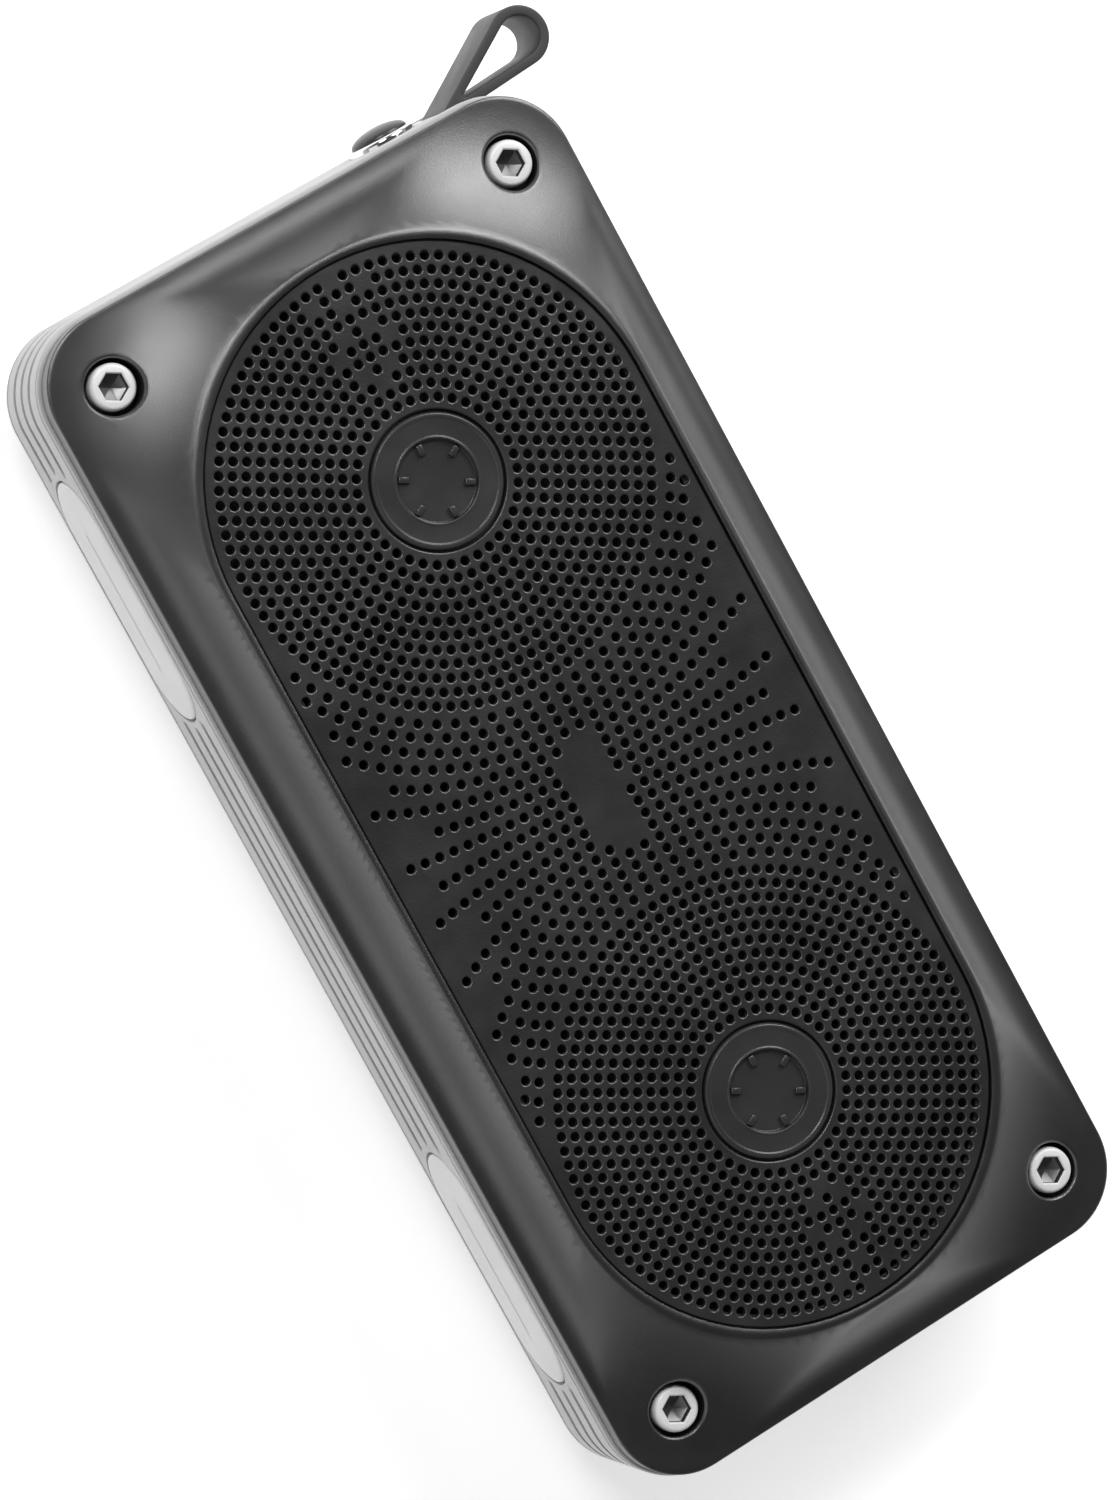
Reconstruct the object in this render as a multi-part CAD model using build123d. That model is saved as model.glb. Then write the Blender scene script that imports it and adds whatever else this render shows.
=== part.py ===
from build123d import *
import os
from math import cos, pi, sin, sqrt

# Waterproof shower speaker lying on its back.
# Millimetres. +X is right, +Y is the strap end, +Z is the front (up).
# Origin: centre of the flat rear face.

# ---- case outline and heights -------------------------------------------------
BODY_W = 75.1
BODY_L = 164.0
CORNER_R = 9.5
REAR_CROWN = 5.2
SIDE_HEIGHT = 24.4
FRONT_CROWN = 5.6
Z_EDGE = REAR_CROWN + SIDE_HEIGHT
Z_LIP = Z_EDGE + FRONT_CROWN
Z_MID = 17.4
LIP_W = 61.5
LIP_L = 148.8
CROWN_POWER = 2.2

# ---- front grille -------------------------------------------------------------
OPENING_W = 59.9
OPENING_L = 147.2
GRILLE_GAP = 0.2
GRILLE_TOP = Z_LIP - 0.6
GRILLE_T = 1.0
LEDGE = 1.7
HOLE_R = 0.6
DRIVER_Y = 43.7
RING_COUNT = 11
RING_R = 10.42
RING_STEP = 1.745
RING_HOLES = 36
ROW_LIMIT = 8
ROW_STEP = 1.72
ROW_SPREAD = 2.40
ROW_HALF_W = 28.5
CAP_R = 8.55
CAP_HOLE_R = 8.9
CAP_RECESS_R = 5.2

# ---- case screws --------------------------------------------------------------
SCREW_X = 29.2
SCREW_Y = 73.1
HEAD_R = 3.0
HEAD_H = 2.8
HEAD_TOP = 30.3
RECESS_R = 3.6
SHANK_R = 1.5
HEX_R = 1.9
POST_R = 4.2

# ---- side band, frame and rear cover ------------------------------------------
Z_BAND_LOW = 8.6
Z_BAND_HIGH = 26.2
BAND_PROUD = 0.45
BAND_T = 1.7
GROOVE_PITCH = 4.0
GROOVE_W = 1.1
GROOVE_DEPTH = 0.9
FINE_GROOVE_Z = 7.95
FINE_GROOVE_W = 0.4
FINE_GROOVE_DEPTH = 0.5
FRAME_W = 72.4
FRAME_L = 161.3
FRAME_T = 2.0
REAR_W = 73.6
REAR_L = 162.4
Z_REAR_RIM = 8.4

# ---- side keys and port cover -------------------------------------------------
PAD_LENGTH = 33.7
PAD_HEIGHT = 14.4
PAD_Y = 48.4
PAD_T = 1.2
PAD_GAP = 0.4
PAD_FACE_X = 38.3
KEY_STEM_R = 2.5
PLUNGER_R = 1.7

# ---- power button and strap ---------------------------------------------------
BUTTON_X = 19.6
BUTTON_R = 3.85
RING_R_OUT = 4.5
LENS_X = 25.0
LENS_R = 0.7
PIN_X = 28.4
PIN_Y = 81.0
PIN_R = 0.8
STRAP_W = 10.0
STRAP_T = 1.3
LOOP_X = 40.8
LOOP_Y = 86.0
LOOP_R = 3.95

# ---- drivers and rear radiator ------------------------------------------------
BAFFLE_LOW = 29.3
BAFFLE_TOP = 31.3
DRIVER_R = 25.2
DRIVER_HOLE_R = 22.6
RADIATOR_W = 44.0
RADIATOR_L = 64.0

SCREW_POINTS = [(x, y) for x in (-SCREW_X, SCREW_X) for y in (-SCREW_Y, SCREW_Y)]
BAND_W = BODY_W + 2 * BAND_PROUD
BAND_L = BODY_L + 2 * BAND_PROUD
BAND_R = CORNER_R + BAND_PROUD


# ---- helpers ------------------------------------------------------------------
def rounded(width, length, radius, z):
    """Rounded rectangle sketch at height z."""
    return Pos(0, 0, z) * RectangleRounded(width, length, radius)


def slab(width, length, radius, z_low, z_high):
    """Plate with rounded corners between two heights."""
    return extrude(rounded(width, length, radius, z_low), z_high - z_low)


def stadium(width, length, z_low, z_high):
    """Plate with fully round ends between two heights."""
    return slab(width, length, width / 2 - 0.01, z_low, z_high)


def block(x_low, x_high, y_low, y_high, z_low, z_high):
    """Box given by its limits."""
    centre = Pos((x_low + x_high) / 2, (y_low + y_high) / 2, (z_low + z_high) / 2)
    return centre * Box(x_high - x_low, y_high - y_low, z_high - z_low)


def rod_x(y, z, radius, x_low, x_high):
    """Round bar along X."""
    return Pos((x_low + x_high) / 2, y, z) * Rot(0, 90, 0) * Cylinder(radius, x_high - x_low)


def rod_y(x, z, radius, y_low, y_high):
    """Round bar along Y."""
    return Pos(x, (y_low + y_high) / 2, z) * Rot(90, 0, 0) * Cylinder(radius, y_high - y_low)


def rod_z(x, y, radius, z_low, z_high):
    """Round bar along Z."""
    return Pos(x, y, (z_low + z_high) / 2) * Cylinder(radius, z_high - z_low)


def turned(points, y):
    """Solid of revolution about a vertical axis at (0, y) from (radius, z) points."""
    profile = Plane.XZ * Polygon(*points, align=None)
    return Pos(0, y, 0) * revolve(profile, Axis.Z)


def side_pad(y, x_low, x_high, grow=0.0):
    """Oval plate on the side of the case, between two X values."""
    length = PAD_LENGTH + 2 * grow
    height = PAD_HEIGHT + 2 * grow
    outline = Plane.YZ.offset(x_low) * Pos(y, Z_MID) * SlotOverall(length, height)
    return extrude(outline, x_high - x_low)


def group(solids):
    """Several separate solids kept as one node."""
    return Compound(children=solids)


# ---- front of the case --------------------------------------------------------
def crown_section(t):
    """Case outline at fraction t of the way from the outer edge to the lip."""
    width = BODY_W + (LIP_W - BODY_W) * t
    length = BODY_L + (LIP_L - BODY_L) * t
    radius = CORNER_R + (LIP_W / 2 - 0.05 - CORNER_R) * t
    return rounded(width, length, radius, Z_EDGE + FRONT_CROWN * t ** CROWN_POWER)


def front_bezel():
    """Painted front cover: flat corners sweeping up to the rim of the grille."""
    z_low = Z_BAND_HIGH + 0.3
    shell = slab(BODY_W, BODY_L, CORNER_R, z_low, Z_EDGE)
    shell += loft([crown_section(t) for t in (0, 0.3, 0.6, 0.85, 1.0)])
    shell -= slab(BODY_W - 3.7, BODY_L - 3.7, CORNER_R - 1.85, z_low - 1, 28.4)
    for x, y in SCREW_POINTS:
        shell += rod_z(x, y, 4.5, Z_BAND_HIGH, 28.5)
    shell -= stadium(OPENING_W - 2 * LEDGE, OPENING_L - 2 * LEDGE, z_low - 1, Z_LIP + 1)
    shell -= stadium(OPENING_W, OPENING_L, GRILLE_TOP - GRILLE_T, Z_LIP + 1)
    for x, y in SCREW_POINTS:
        shell -= rod_z(x, y, RECESS_R, HEAD_TOP - HEAD_H, Z_LIP)
        shell -= rod_z(x, y, SHANK_R + 0.2, Z_BAND_HIGH - 1, Z_LIP)
    return shell


def ring_hole_points(side):
    """Holes in rings about one cap; side is +1 for the strap end."""
    blanks = {(10, 0), (9, 2), (8, 0), (6, 1), (5, 2), (3, 1), (2, 0)}
    points = []
    for ring in range(RING_COUNT):
        radius = RING_R + RING_STEP * ring
        count = RING_HOLES + 6 * ring
        for step in range(count):
            from_pole = min(step, count - step)
            if (ring, from_pole) in blanks:
                continue
            angle = 2 * pi * step / count
            points.append((radius * sin(angle), side * (DRIVER_Y + radius * cos(angle))))
    return points


def row_reach(row):
    """How far from the centre line a fan row runs."""
    return {0: 24.2, 2: 22.6, 4: 24.9}.get(abs(row), 28.2)


def row_is_blank(row, step, side):
    """Holes left out around the plain patch in the middle."""
    if step == 0:
        return abs(row) <= 4
    if step == 1:
        return row == 0 if side > 0 else abs(row) <= 3
    return False


def row_hole_points(row):
    """Holes along one of the curved rows that fan out between the two caps."""
    rise = ROW_SPREAD * abs(row)
    bend = 1 if row >= 0 else -1
    pitch = 1.93 + 0.06 * abs(row)
    points = []
    for side in (-1, 1):
        for step in range(16):
            along = (step + 0.5) * pitch
            x, lift = along, 0.0
            if rise > 0:
                arc_r = (ROW_HALF_W ** 2 + rise ** 2) / (2 * rise)
                x = arc_r * sin(along / arc_r)
                lift = arc_r * (1 - cos(along / arc_r))
            if x <= row_reach(row) and not row_is_blank(row, step, side):
                points.append((side * x, ROW_STEP * row + bend * lift))
    return points


def front_grille():
    """Perforated plate with round ends and two openings for the caps."""
    points = ring_hole_points(1) + ring_hole_points(-1)
    for row in range(-ROW_LIMIT, ROW_LIMIT + 1):
        points += row_hole_points(row)
    width = OPENING_W - 2 * GRILLE_GAP
    length = OPENING_L - 2 * GRILLE_GAP
    outline = RectangleRounded(width, length, width / 2 - 0.01).face().outer_wire()
    holes = [Wire(Edge.make_circle(HOLE_R, Plane((x, y, 0)))) for x, y in points]
    for side in (-1, 1):
        holes.append(Wire(Edge.make_circle(CAP_HOLE_R, Plane((0, side * DRIVER_Y, 0)))))
    plate = Face(outline, holes)
    return Pos(0, 0, GRILLE_TOP - GRILLE_T) * extrude(plate, GRILLE_T, dir=(0, 0, 1))


def grille_cap(side):
    """Round cap over a driver's centre, with a recess and six small ribs."""
    y = side * DRIVER_Y
    top = GRILLE_TOP + 0.15
    floor = top - 0.7
    low = GRILLE_TOP - GRILLE_T
    outline = [(0, low - 0.7), (CAP_HOLE_R + 0.7, low - 0.7), (CAP_HOLE_R + 0.7, low), (CAP_R, low),
               (CAP_R, top - 0.35), (CAP_R - 0.35, top), (CAP_RECESS_R, top), (CAP_RECESS_R, floor),
               (0, floor)]
    cap = turned(outline, y)
    rib = Pos(4.3, 0, floor + 0.2) * Box(1.4, 0.8, 0.5)
    for step in range(6):
        cap += Pos(0, y, 0) * Rot(0, 0, 30 + 60 * step) * rib
    return cap


def splash_membrane():
    """Thin sheet that keeps water off the drivers."""
    return stadium(55.6, 142.9, BAFFLE_TOP, BAFFLE_TOP + 0.25)


def bezel_seal():
    """Flat rubber ring between the front cover and the frame."""
    outer = slab(BODY_W - 0.8, BODY_L - 0.8, CORNER_R - 0.4, Z_BAND_HIGH, Z_BAND_HIGH + 0.3)
    return outer - slab(BODY_W - 3.4, BODY_L - 3.4, CORNER_R - 1.7, Z_BAND_HIGH - 1, Z_BAND_HIGH + 1)


def case_screws():
    """Socket-head screws that hold the front cover."""
    screws = []
    for x, y in SCREW_POINTS:
        head = rod_z(x, y, HEAD_R, HEAD_TOP - HEAD_H, HEAD_TOP)
        head = chamfer(head.edges().group_by(Axis.Z)[-1], 0.3)
        socket = Pos(x, y, HEAD_TOP - 1.5) * RegularPolygon(HEX_R, 6)
        screw = head + rod_z(x, y, SHANK_R, 15.6, HEAD_TOP - HEAD_H)
        screws.append(screw - extrude(socket, 2.0))
    return group(screws)


def screw_inserts():
    """Brass threaded inserts in the frame posts."""
    inserts = []
    for x, y in SCREW_POINTS:
        insert = rod_z(x, y, 2.1, 20.2, 26.0)
        inserts.append(insert - rod_z(x, y, SHANK_R + 0.02, 19, 27))
    return group(inserts)


# ---- sides of the case --------------------------------------------------------
def groove_ring(z, width, depth):
    """Ring-shaped cutter that runs round the outside of the band."""
    outer = slab(BAND_W + 2, BAND_L + 2, BAND_R + 1, z - width / 2, z + width / 2)
    core = slab(BAND_W - 2 * depth, BAND_L - 2 * depth, BAND_R - depth, z - width, z + width)
    return outer - core


def band_pads():
    """Side, Y and growth of the three ovals let into the band."""
    return [(-1, PAD_Y), (-1, -PAD_Y), (1, PAD_Y)]


def strap_pocket():
    """Space around the strap's root, open at the top edge and the corner."""
    deep = block(25.9, 31.2, 78.4, 90, Z_MID - 6.4, Z_MID + 6.4)
    return deep + block(31.0, 36.0, 80.8, 90, Z_MID - 6.4, Z_MID + 6.4)


def side_band():
    """Soft ribbed band round the sides."""
    band = slab(BAND_W, BAND_L, BAND_R, Z_BAND_LOW, Z_BAND_HIGH)
    band = chamfer(band.edges().group_by(Axis.Z)[-1] + band.edges().group_by(Axis.Z)[0], 0.3)
    grooves = groove_ring(Z_MID, GROOVE_W, GROOVE_DEPTH)
    for side in (-1, 1):
        grooves += groove_ring(Z_MID + side * GROOVE_PITCH, GROOVE_W, GROOVE_DEPTH)
        grooves += groove_ring(Z_MID + side * FINE_GROOVE_Z, FINE_GROOVE_W, FINE_GROOVE_DEPTH)
    grooves -= block(-26, 26, 70, 90, Z_BAND_LOW, Z_BAND_HIGH)
    for side, y in band_pads():
        x_low = 30 if side > 0 else -45
        grooves -= side_pad(y, x_low, x_low + 15, 1.9)
    band -= grooves
    hollow = BAND_W - 2 * BAND_T
    band -= slab(hollow, BAND_L - 2 * BAND_T, BAND_R - BAND_T, 0, 40)
    for side, y in band_pads():
        x_low = 30 if side > 0 else -45
        band -= side_pad(y, x_low, x_low + 15, PAD_GAP)
    band -= rod_y(BUTTON_X, Z_MID, RING_R_OUT + 0.1, 75, 90)
    band -= rod_y(LENS_X, Z_MID, LENS_R + 0.05, 75, 90)
    band -= strap_pocket()
    return band


def frame_mounts():
    """Ribs, posts and ledges moulded inside the frame."""
    low = Z_REAR_RIM
    inner_x = FRAME_W / 2 - FRAME_T - 0.2
    parts = [rod_z(x, y, POST_R, low, Z_BAND_HIGH) for x, y in SCREW_POINTS]
    for x, y in SCREW_POINTS:
        out_x = x + 5.3 if x > 0 else x - 5.3
        out_y = y + 6.2 if y > 0 else y - 6.2
        parts.append(block(min(x, out_x), max(x, out_x), y - 1, y + 1, low, Z_BAND_HIGH))
        parts.append(block(x - 1, x + 1, min(y, out_y), max(y, out_y), low, Z_BAND_HIGH))
    parts.append(block(23.9, 31.6, 77.0, 79.6, Z_MID - 7.6, Z_MID + 7.6))
    for side in (-1, 1):
        saddle = block(26, inner_x + 0.4, -11, 11, low, 17)
        parts.append(saddle if side > 0 else mirror(saddle, Plane.YZ))
        for end in (-13, 13):
            y = side * PAD_Y + end
            parts.append(block(-inner_x - 0.4, -30.9, y - 1.5, y + 1.5, Z_MID - 4, Z_MID + 4))
    parts.append(block(30, inner_x + 0.4, 37, 60, 11.4, 13.4))
    parts.append(block(9, 12, 74.9, 79, 12, 23))
    return parts


def inner_frame():
    """Rigid plastic frame that carries the band and the inner parts."""
    low = Z_REAR_RIM
    frame = slab(FRAME_W, FRAME_L, CORNER_R - 1.35, low, Z_BAND_HIGH)
    frame -= slab(FRAME_W - 2 * FRAME_T, FRAME_L - 2 * FRAME_T, CORNER_R - 3.35, 0, 40)
    for part in frame_mounts():
        frame += part
    frame -= rod_x(0, Z_MID, 8.9, -33, 33)
    for x, y in SCREW_POINTS:
        frame -= rod_z(x, y, 2.12, 20.0, 27)
        frame -= rod_z(x, y, SHANK_R + 0.2, 15.0, 21)
        frame -= rod_z(x, y, 1.42, low - 1, 14.0)
    for side in (-1, 1):
        frame -= rod_x(side * PAD_Y, Z_MID, KEY_STEM_R + 0.4, -38, -33)
    frame -= rod_y(BUTTON_X, Z_MID, 2.6, 76, 82)
    frame -= rod_y(LENS_X, Z_MID, LENS_R + 0.05, 76, 82)
    frame -= strap_pocket()
    frame -= block(33, 38, PAD_Y - 11, PAD_Y + 11, Z_MID - 4.75, Z_MID + 4.75)
    return frame


def rear_shell():
    """Outer shape of the rear cover: a shallow pillow with a flat middle."""
    sections = [rounded(56, 144, 18, 0), rounded(66, 154.6, 12, 1.5),
                rounded(REAR_W, REAR_L, CORNER_R - 0.75, REAR_CROWN)]
    pillow = loft(sections, ruled=True)
    return pillow + slab(REAR_W, REAR_L, CORNER_R - 0.75, REAR_CROWN, Z_REAR_RIM)


def rear_cover():
    """Rear cover with sound slots, screw recesses and board posts."""
    cover = rear_shell()
    cavity = loft([rounded(53, 141, 16.5, 2.0), rounded(REAR_W - 4, REAR_L - 4, 6.75, REAR_CROWN)])
    cavity += slab(REAR_W - 4, REAR_L - 4, 6.75, REAR_CROWN, Z_REAR_RIM + 1)
    for x, y in SCREW_POINTS:
        cavity -= rod_z(x, y, 4.5, 0, 10)
    cover -= cavity
    cover -= block(-60, 60, -90, 90, Z_REAR_RIM, 12)
    for x, y in SCREW_POINTS:
        cover -= rod_z(x, y, 3.2, -1, 3.9)
        cover -= rod_z(x, y, 1.6, 0, 10)
    for step in (-4, -3, -2, -1, 1, 2, 3, 4):
        slot = Pos(0, 6 * step, -1) * SlotOverall(30, 2.0)
        cover -= extrude(slot, 4)
    for x, y in board_points():
        cover += rod_z(x, y, 2.5, 1.9, 6.0)
        cover -= rod_z(x, y, 1.02, 2.6, 7)
    return cover


def rear_screws():
    """Screws that hold the rear cover."""
    screws = []
    for x, y in SCREW_POINTS:
        screw = rod_z(x, y, 2.7, 2.2, 3.9) + rod_z(x, y, 1.4, 3.9, 13.5)
        socket = Pos(x, y, 1.5) * RegularPolygon(1.2, 6)
        screws.append(screw - extrude(socket, 1.7))
    return group(screws)


# ---- drivers ------------------------------------------------------------------
def baffle_plate():
    """Plate behind the grille that carries both drivers."""
    plate = slab(70.8, 159.7, 7.35, Z_BAND_HIGH, 28.4)
    plate += stadium(56.0, 143.3, 28.4, BAFFLE_TOP)
    plate -= stadium(53.0, 140.3, Z_BAND_HIGH - 1, BAFFLE_LOW)
    for x, y in SCREW_POINTS:
        plate -= rod_z(x, y, 4.9, 20, 40)
    for side in (-1, 1):
        plate -= rod_z(0, side * DRIVER_Y, DRIVER_HOLE_R, 20, 40)
    for x, y in driver_screw_points():
        plate -= rod_z(x, y, 0.82, 29, 30.9)
    return plate


def driver_screw_points():
    """Four screws round each driver."""
    reach = 24.0 / sqrt(2)
    points = []
    for side in (-1, 1):
        for x in (-reach, reach):
            for y in (-reach, reach):
                points.append((x, side * DRIVER_Y + y))
    return points


def driver_screws():
    """Screws that hold the driver baskets."""
    screws = []
    for x, y in driver_screw_points():
        screws.append(rod_z(x, y, 1.4, 26.7, 27.8) + rod_z(x, y, 0.8, 27.8, 30.6))
    return group(screws)


def driver_gaskets():
    """Foam rings between the baskets and the baffle."""
    rings = []
    for side in (-1, 1):
        y = side * DRIVER_Y
        ring = rod_z(0, y, DRIVER_R, 28.8, BAFFLE_LOW) - rod_z(0, y, 22.7, 28, 30)
        for sx, sy in driver_screw_points():
            ring -= rod_z(sx, sy, 0.9, 28, 30)
        rings.append(ring)
    return group(rings)


def basket(y):
    """Open frame of a driver."""
    outline = [(8.2, 19.6), (14.4, 19.6), (22.2, 27.8), (DRIVER_R, 27.8), (DRIVER_R, 28.8),
               (21.5, 28.8), (21.5, 28.2), (13.7, 20.8), (8.2, 20.8)]
    frame = turned(outline, y)
    for angle in (0, 90):
        window = Pos(0, y, 24.0) * Rot(0, 0, angle) * Box(52, 14, 3.4)
        frame -= window
    for x, sy in driver_screw_points():
        frame -= rod_z(x, sy, 0.9, 27, 30)
    return frame


def front_plate(y):
    """Steel ring on top of the magnet."""
    return rod_z(0, y, 12.5, 17.6, 19.6) - rod_z(0, y, 7.3, 17, 20)


def magnet(y):
    """Ring magnet."""
    return rod_z(0, y, 13.5, 13.2, 17.6) - rod_z(0, y, 8.0, 13, 18)


def yoke(y):
    """Back plate with the pole piece."""
    return rod_z(0, y, 12.5, 11.2, 13.2) + rod_z(0, y, 6.1, 13.2, 19.4)


def voice_coil(y):
    """Coil wound on its former."""
    coil = rod_z(0, y, 6.7, 16.2, 23.9) + rod_z(0, y, 6.95, 16.2, 19.8)
    return coil - rod_z(0, y, 6.45, 16, 25)


def cone(y):
    """Paper cone with a flat rim."""
    outline = [(6.8, 23.4), (7.2, 23.4), (17.3, 28.3), (18.6, 28.3), (18.6, 28.8), (17.2, 28.8),
               (6.8, 23.9)]
    return turned(outline, y)


def arch_face(points_low, points_high):
    """Profile between two three-point arcs that share their ends' sides."""
    lower = ThreePointArc(*points_low)
    upper = ThreePointArc(*points_high)
    left = Line(points_low[0], points_high[0])
    right = Line(points_low[2], points_high[2])
    return Plane.XZ * make_face([lower, right, upper, left])


def dust_cap(y):
    """Domed cap over the coil."""
    low = [(0, 26.0), (4.1, 25.4), (7.3, 24.35)]
    high = [(0, 26.4), (4.3, 25.8), (7.7, 24.65)]
    return Pos(0, y, 0) * revolve(arch_face(low, high), Axis.Z)


def surround(y):
    """Half-roll rubber edge of the cone."""
    low = [(18.5, 28.8), (19.9, 29.7), (21.3, 28.8)]
    high = [(18.2, 28.8), (19.9, 30.0), (21.6, 28.8)]
    roll = revolve(arch_face(low, high), Axis.Z)
    inner_land = rod_z(0, 0, 18.4, 28.8, 29.05) - rod_z(0, 0, 17.4, 28, 30)
    outer_land = rod_z(0, 0, 22.4, 28.8, 29.05) - rod_z(0, 0, 21.4, 28, 30)
    return Pos(0, y, 0) * (roll + inner_land + outer_land)


def spider(y):
    """Corrugated disc that centres the coil."""
    radii = [7.05, 8.3, 9.6, 10.9, 12.2, 13.4]
    heights = [22.3, 21.1, 22.3, 21.1, 22.3, 20.8]
    low = list(zip(radii, heights))
    high = [(r, z + 0.3) for r, z in reversed(low)]
    disc = turned(low + high, 0)
    disc += rod_z(0, 0, 7.2, 22.3, 22.6) - rod_z(0, 0, 6.75, 22, 23)
    return Pos(0, y, 0) * disc


# ---- rear radiator ------------------------------------------------------------
def radiator_frame():
    """Oval ring glued behind the sound slots."""
    return stadium(RADIATOR_W, RADIATOR_L, 2.0, 4.0) - stadium(39.0, 59.0, 1, 5)


def radiator_surround():
    """Rubber roll round the passive plate."""
    roll = stadium(38.6, 58.6, 4.0, 5.8) - stadium(30.2, 50.2, 3, 7)
    hollow = stadium(37.8, 57.8, 3, 5.3) - stadium(31.0, 51.0, 2, 6)
    lands = stadium(43.0, 63.0, 4.0, 4.4) - stadium(38.5, 58.5, 3, 7)
    lands += stadium(30.3, 50.3, 4.0, 4.4) - stadium(26.0, 46.0, 3, 7)
    return roll - hollow + lands


def radiator_plate():
    """Passive plate with its weight."""
    return stadium(29.8, 49.8, 3.2, 4.0) + stadium(20.0, 36.0, 4.0, 6.4)


# ---- power and electronics ----------------------------------------------------
def battery_pack():
    """Round cell lying across the case, with its end caps."""
    cell = rod_x(0, Z_MID, 8.7, -30.5, 30.5)
    caps = rod_x(0, Z_MID, 7.0, -32.3, -30.5) + rod_x(0, Z_MID, 5.0, 30.5, 32.3)
    return cell + caps


def board_points():
    """Posts under the main board."""
    return [(x, y) for x in (-20, 20) for y in (-72, -42)]


def main_board():
    """Main circuit board."""
    board = block(-24, 24, -76, -38, 6.0, 7.6)
    for x, y in board_points():
        board -= rod_z(x, y, 1.1, 5, 9)
    return board


def board_screws():
    """Screws of the main board."""
    screws = []
    for x, y in board_points():
        screws.append(rod_z(x, y, 1.8, 7.6, 8.6) + rod_z(x, y, 1.0, 3.0, 7.6))
    return group(screws)


def board_components():
    """Radio module, chips and capacitors on the main board."""
    chips = [(10, -62, 9, 9, 1.2), (-2, -66, 6, 6, 1.0), (12, -48, 7, 5, 1.6), (1, -54, 5, 4, 1.1)]
    parts = [block(x - w / 2, x + w / 2, y - d / 2, y + d / 2, 7.6, 7.6 + h)
             for x, y, w, d, h in chips]
    for x, y in ((-8, -72), (0, -72), (8, -72)):
        parts.append(rod_z(x, y, 1.9, 7.6, 10.8))
    parts.append(block(-21, -8, -62, -46, 7.6, 8.4) + block(-20, -9, -58, -47, 8.4, 10.2))
    return group(parts)


# ---- power button -------------------------------------------------------------
def power_button():
    """Domed push button with its stem."""
    shaft = rod_y(BUTTON_X, Z_MID, BUTTON_R, 81.75, 83.3)
    dome_r = (BUTTON_R ** 2 + 1.4 ** 2) / (2 * 1.4)
    dome = Pos(BUTTON_X, 84.7 - dome_r, Z_MID) * Sphere(dome_r)
    dome = dome & rod_y(BUTTON_X, Z_MID, BUTTON_R, 83.3, 86)
    return shaft + dome + rod_y(BUTTON_X, Z_MID, 2.2, 78.2, 81.75)


def power_button_ring():
    """Bright ring round the button."""
    ring = rod_y(BUTTON_X, Z_MID, RING_R_OUT, 80.65, 83.2)
    ring = chamfer(ring.edges().group_by(Axis.Y)[-1], 0.25)
    return ring - rod_y(BUTTON_X, Z_MID, BUTTON_R + 0.08, 80, 84)


def power_switch_plunger():
    """Moving stem of the power switch."""
    return rod_y(BUTTON_X, Z_MID, 1.6, 76.2, 78.2)


def power_switch():
    """Housing of the power switch."""
    housing = block(BUTTON_X - 3, BUTTON_X + 3, 74.9, 77.2, Z_MID - 3, Z_MID + 3)
    return housing - rod_y(BUTTON_X, Z_MID, 1.9, 75.2, 78)


def power_board():
    """Small board behind the power button."""
    return block(8, 24.9, 73.7, 74.9, 12, 23)


def led_lens():
    """Light pipe beside the button."""
    return rod_y(LENS_X, Z_MID, LENS_R, 76.7, 82.6)


def status_led():
    """Indicator lamp on the power board."""
    return block(LENS_X - 0.9, LENS_X + 0.3, 74.9, 76.5, Z_MID - 0.8, Z_MID + 0.8)


# ---- side keys ----------------------------------------------------------------
def volume_key(side):
    """Large oval key with its stem."""
    y = side * PAD_Y
    pad = side_pad(y, -PAD_FACE_X, -PAD_FACE_X + PAD_T)
    pad = fillet(pad.edges().group_by(Axis.X)[0], 0.4)
    return pad + rod_x(y, Z_MID, KEY_STEM_R, -PAD_FACE_X + PAD_T, -34.6)


def volume_plunger(side):
    """Moving stem of a key switch."""
    return rod_x(side * PAD_Y, Z_MID, PLUNGER_R, -34.6, -32.4)


def volume_switches():
    """Housings of the two key switches."""
    housings = []
    for side in (-1, 1):
        y = side * PAD_Y
        housing = block(-33.7, -30.9, y - 3, y + 3, Z_MID - 3, Z_MID + 3)
        housings.append(housing - rod_x(y, Z_MID, PLUNGER_R + 0.3, -35, -31.5))
    return group(housings)


def key_boards():
    """Small boards behind the keys."""
    return group([block(-30.9, -29.7, side * PAD_Y - 14.5, side * PAD_Y + 14.5, Z_MID - 5.5,
                        Z_MID + 5.5) for side in (-1, 1)])


# ---- port ---------------------------------------------------------------------
def port_cover():
    """Oval rubber cover with the plug that seals the sockets."""
    pad = side_pad(PAD_Y, PAD_FACE_X - PAD_T, PAD_FACE_X)
    pad = fillet(pad.edges().group_by(Axis.X)[-1], 0.4)
    plug = block(35.4, PAD_FACE_X - PAD_T, PAD_Y - 10.5, PAD_Y + 10.5, Z_MID - 4.3, Z_MID + 4.3)
    return pad + plug


def port_board():
    """Board that carries the sockets."""
    return block(22.5, 33.6, 37.5, 59.5, 13.4, 14.6)


def usb_socket():
    """Charging socket."""
    shell = block(27.8, 34.6, 40, 49, 14.6, 17.9)
    return shell - block(28.6, 35, 40.6, 48.4, 15.2, 17.3) + block(28.6, 33.6, 41.4, 47.6, 15.95, 16.55)


def aux_jack():
    """Audio socket."""
    body = block(22.8, 34.4, 52.2, 58.2, 14.6, 20.6)
    return body - rod_x(55.2, 17.6, 1.8, 23.6, 35)


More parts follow.
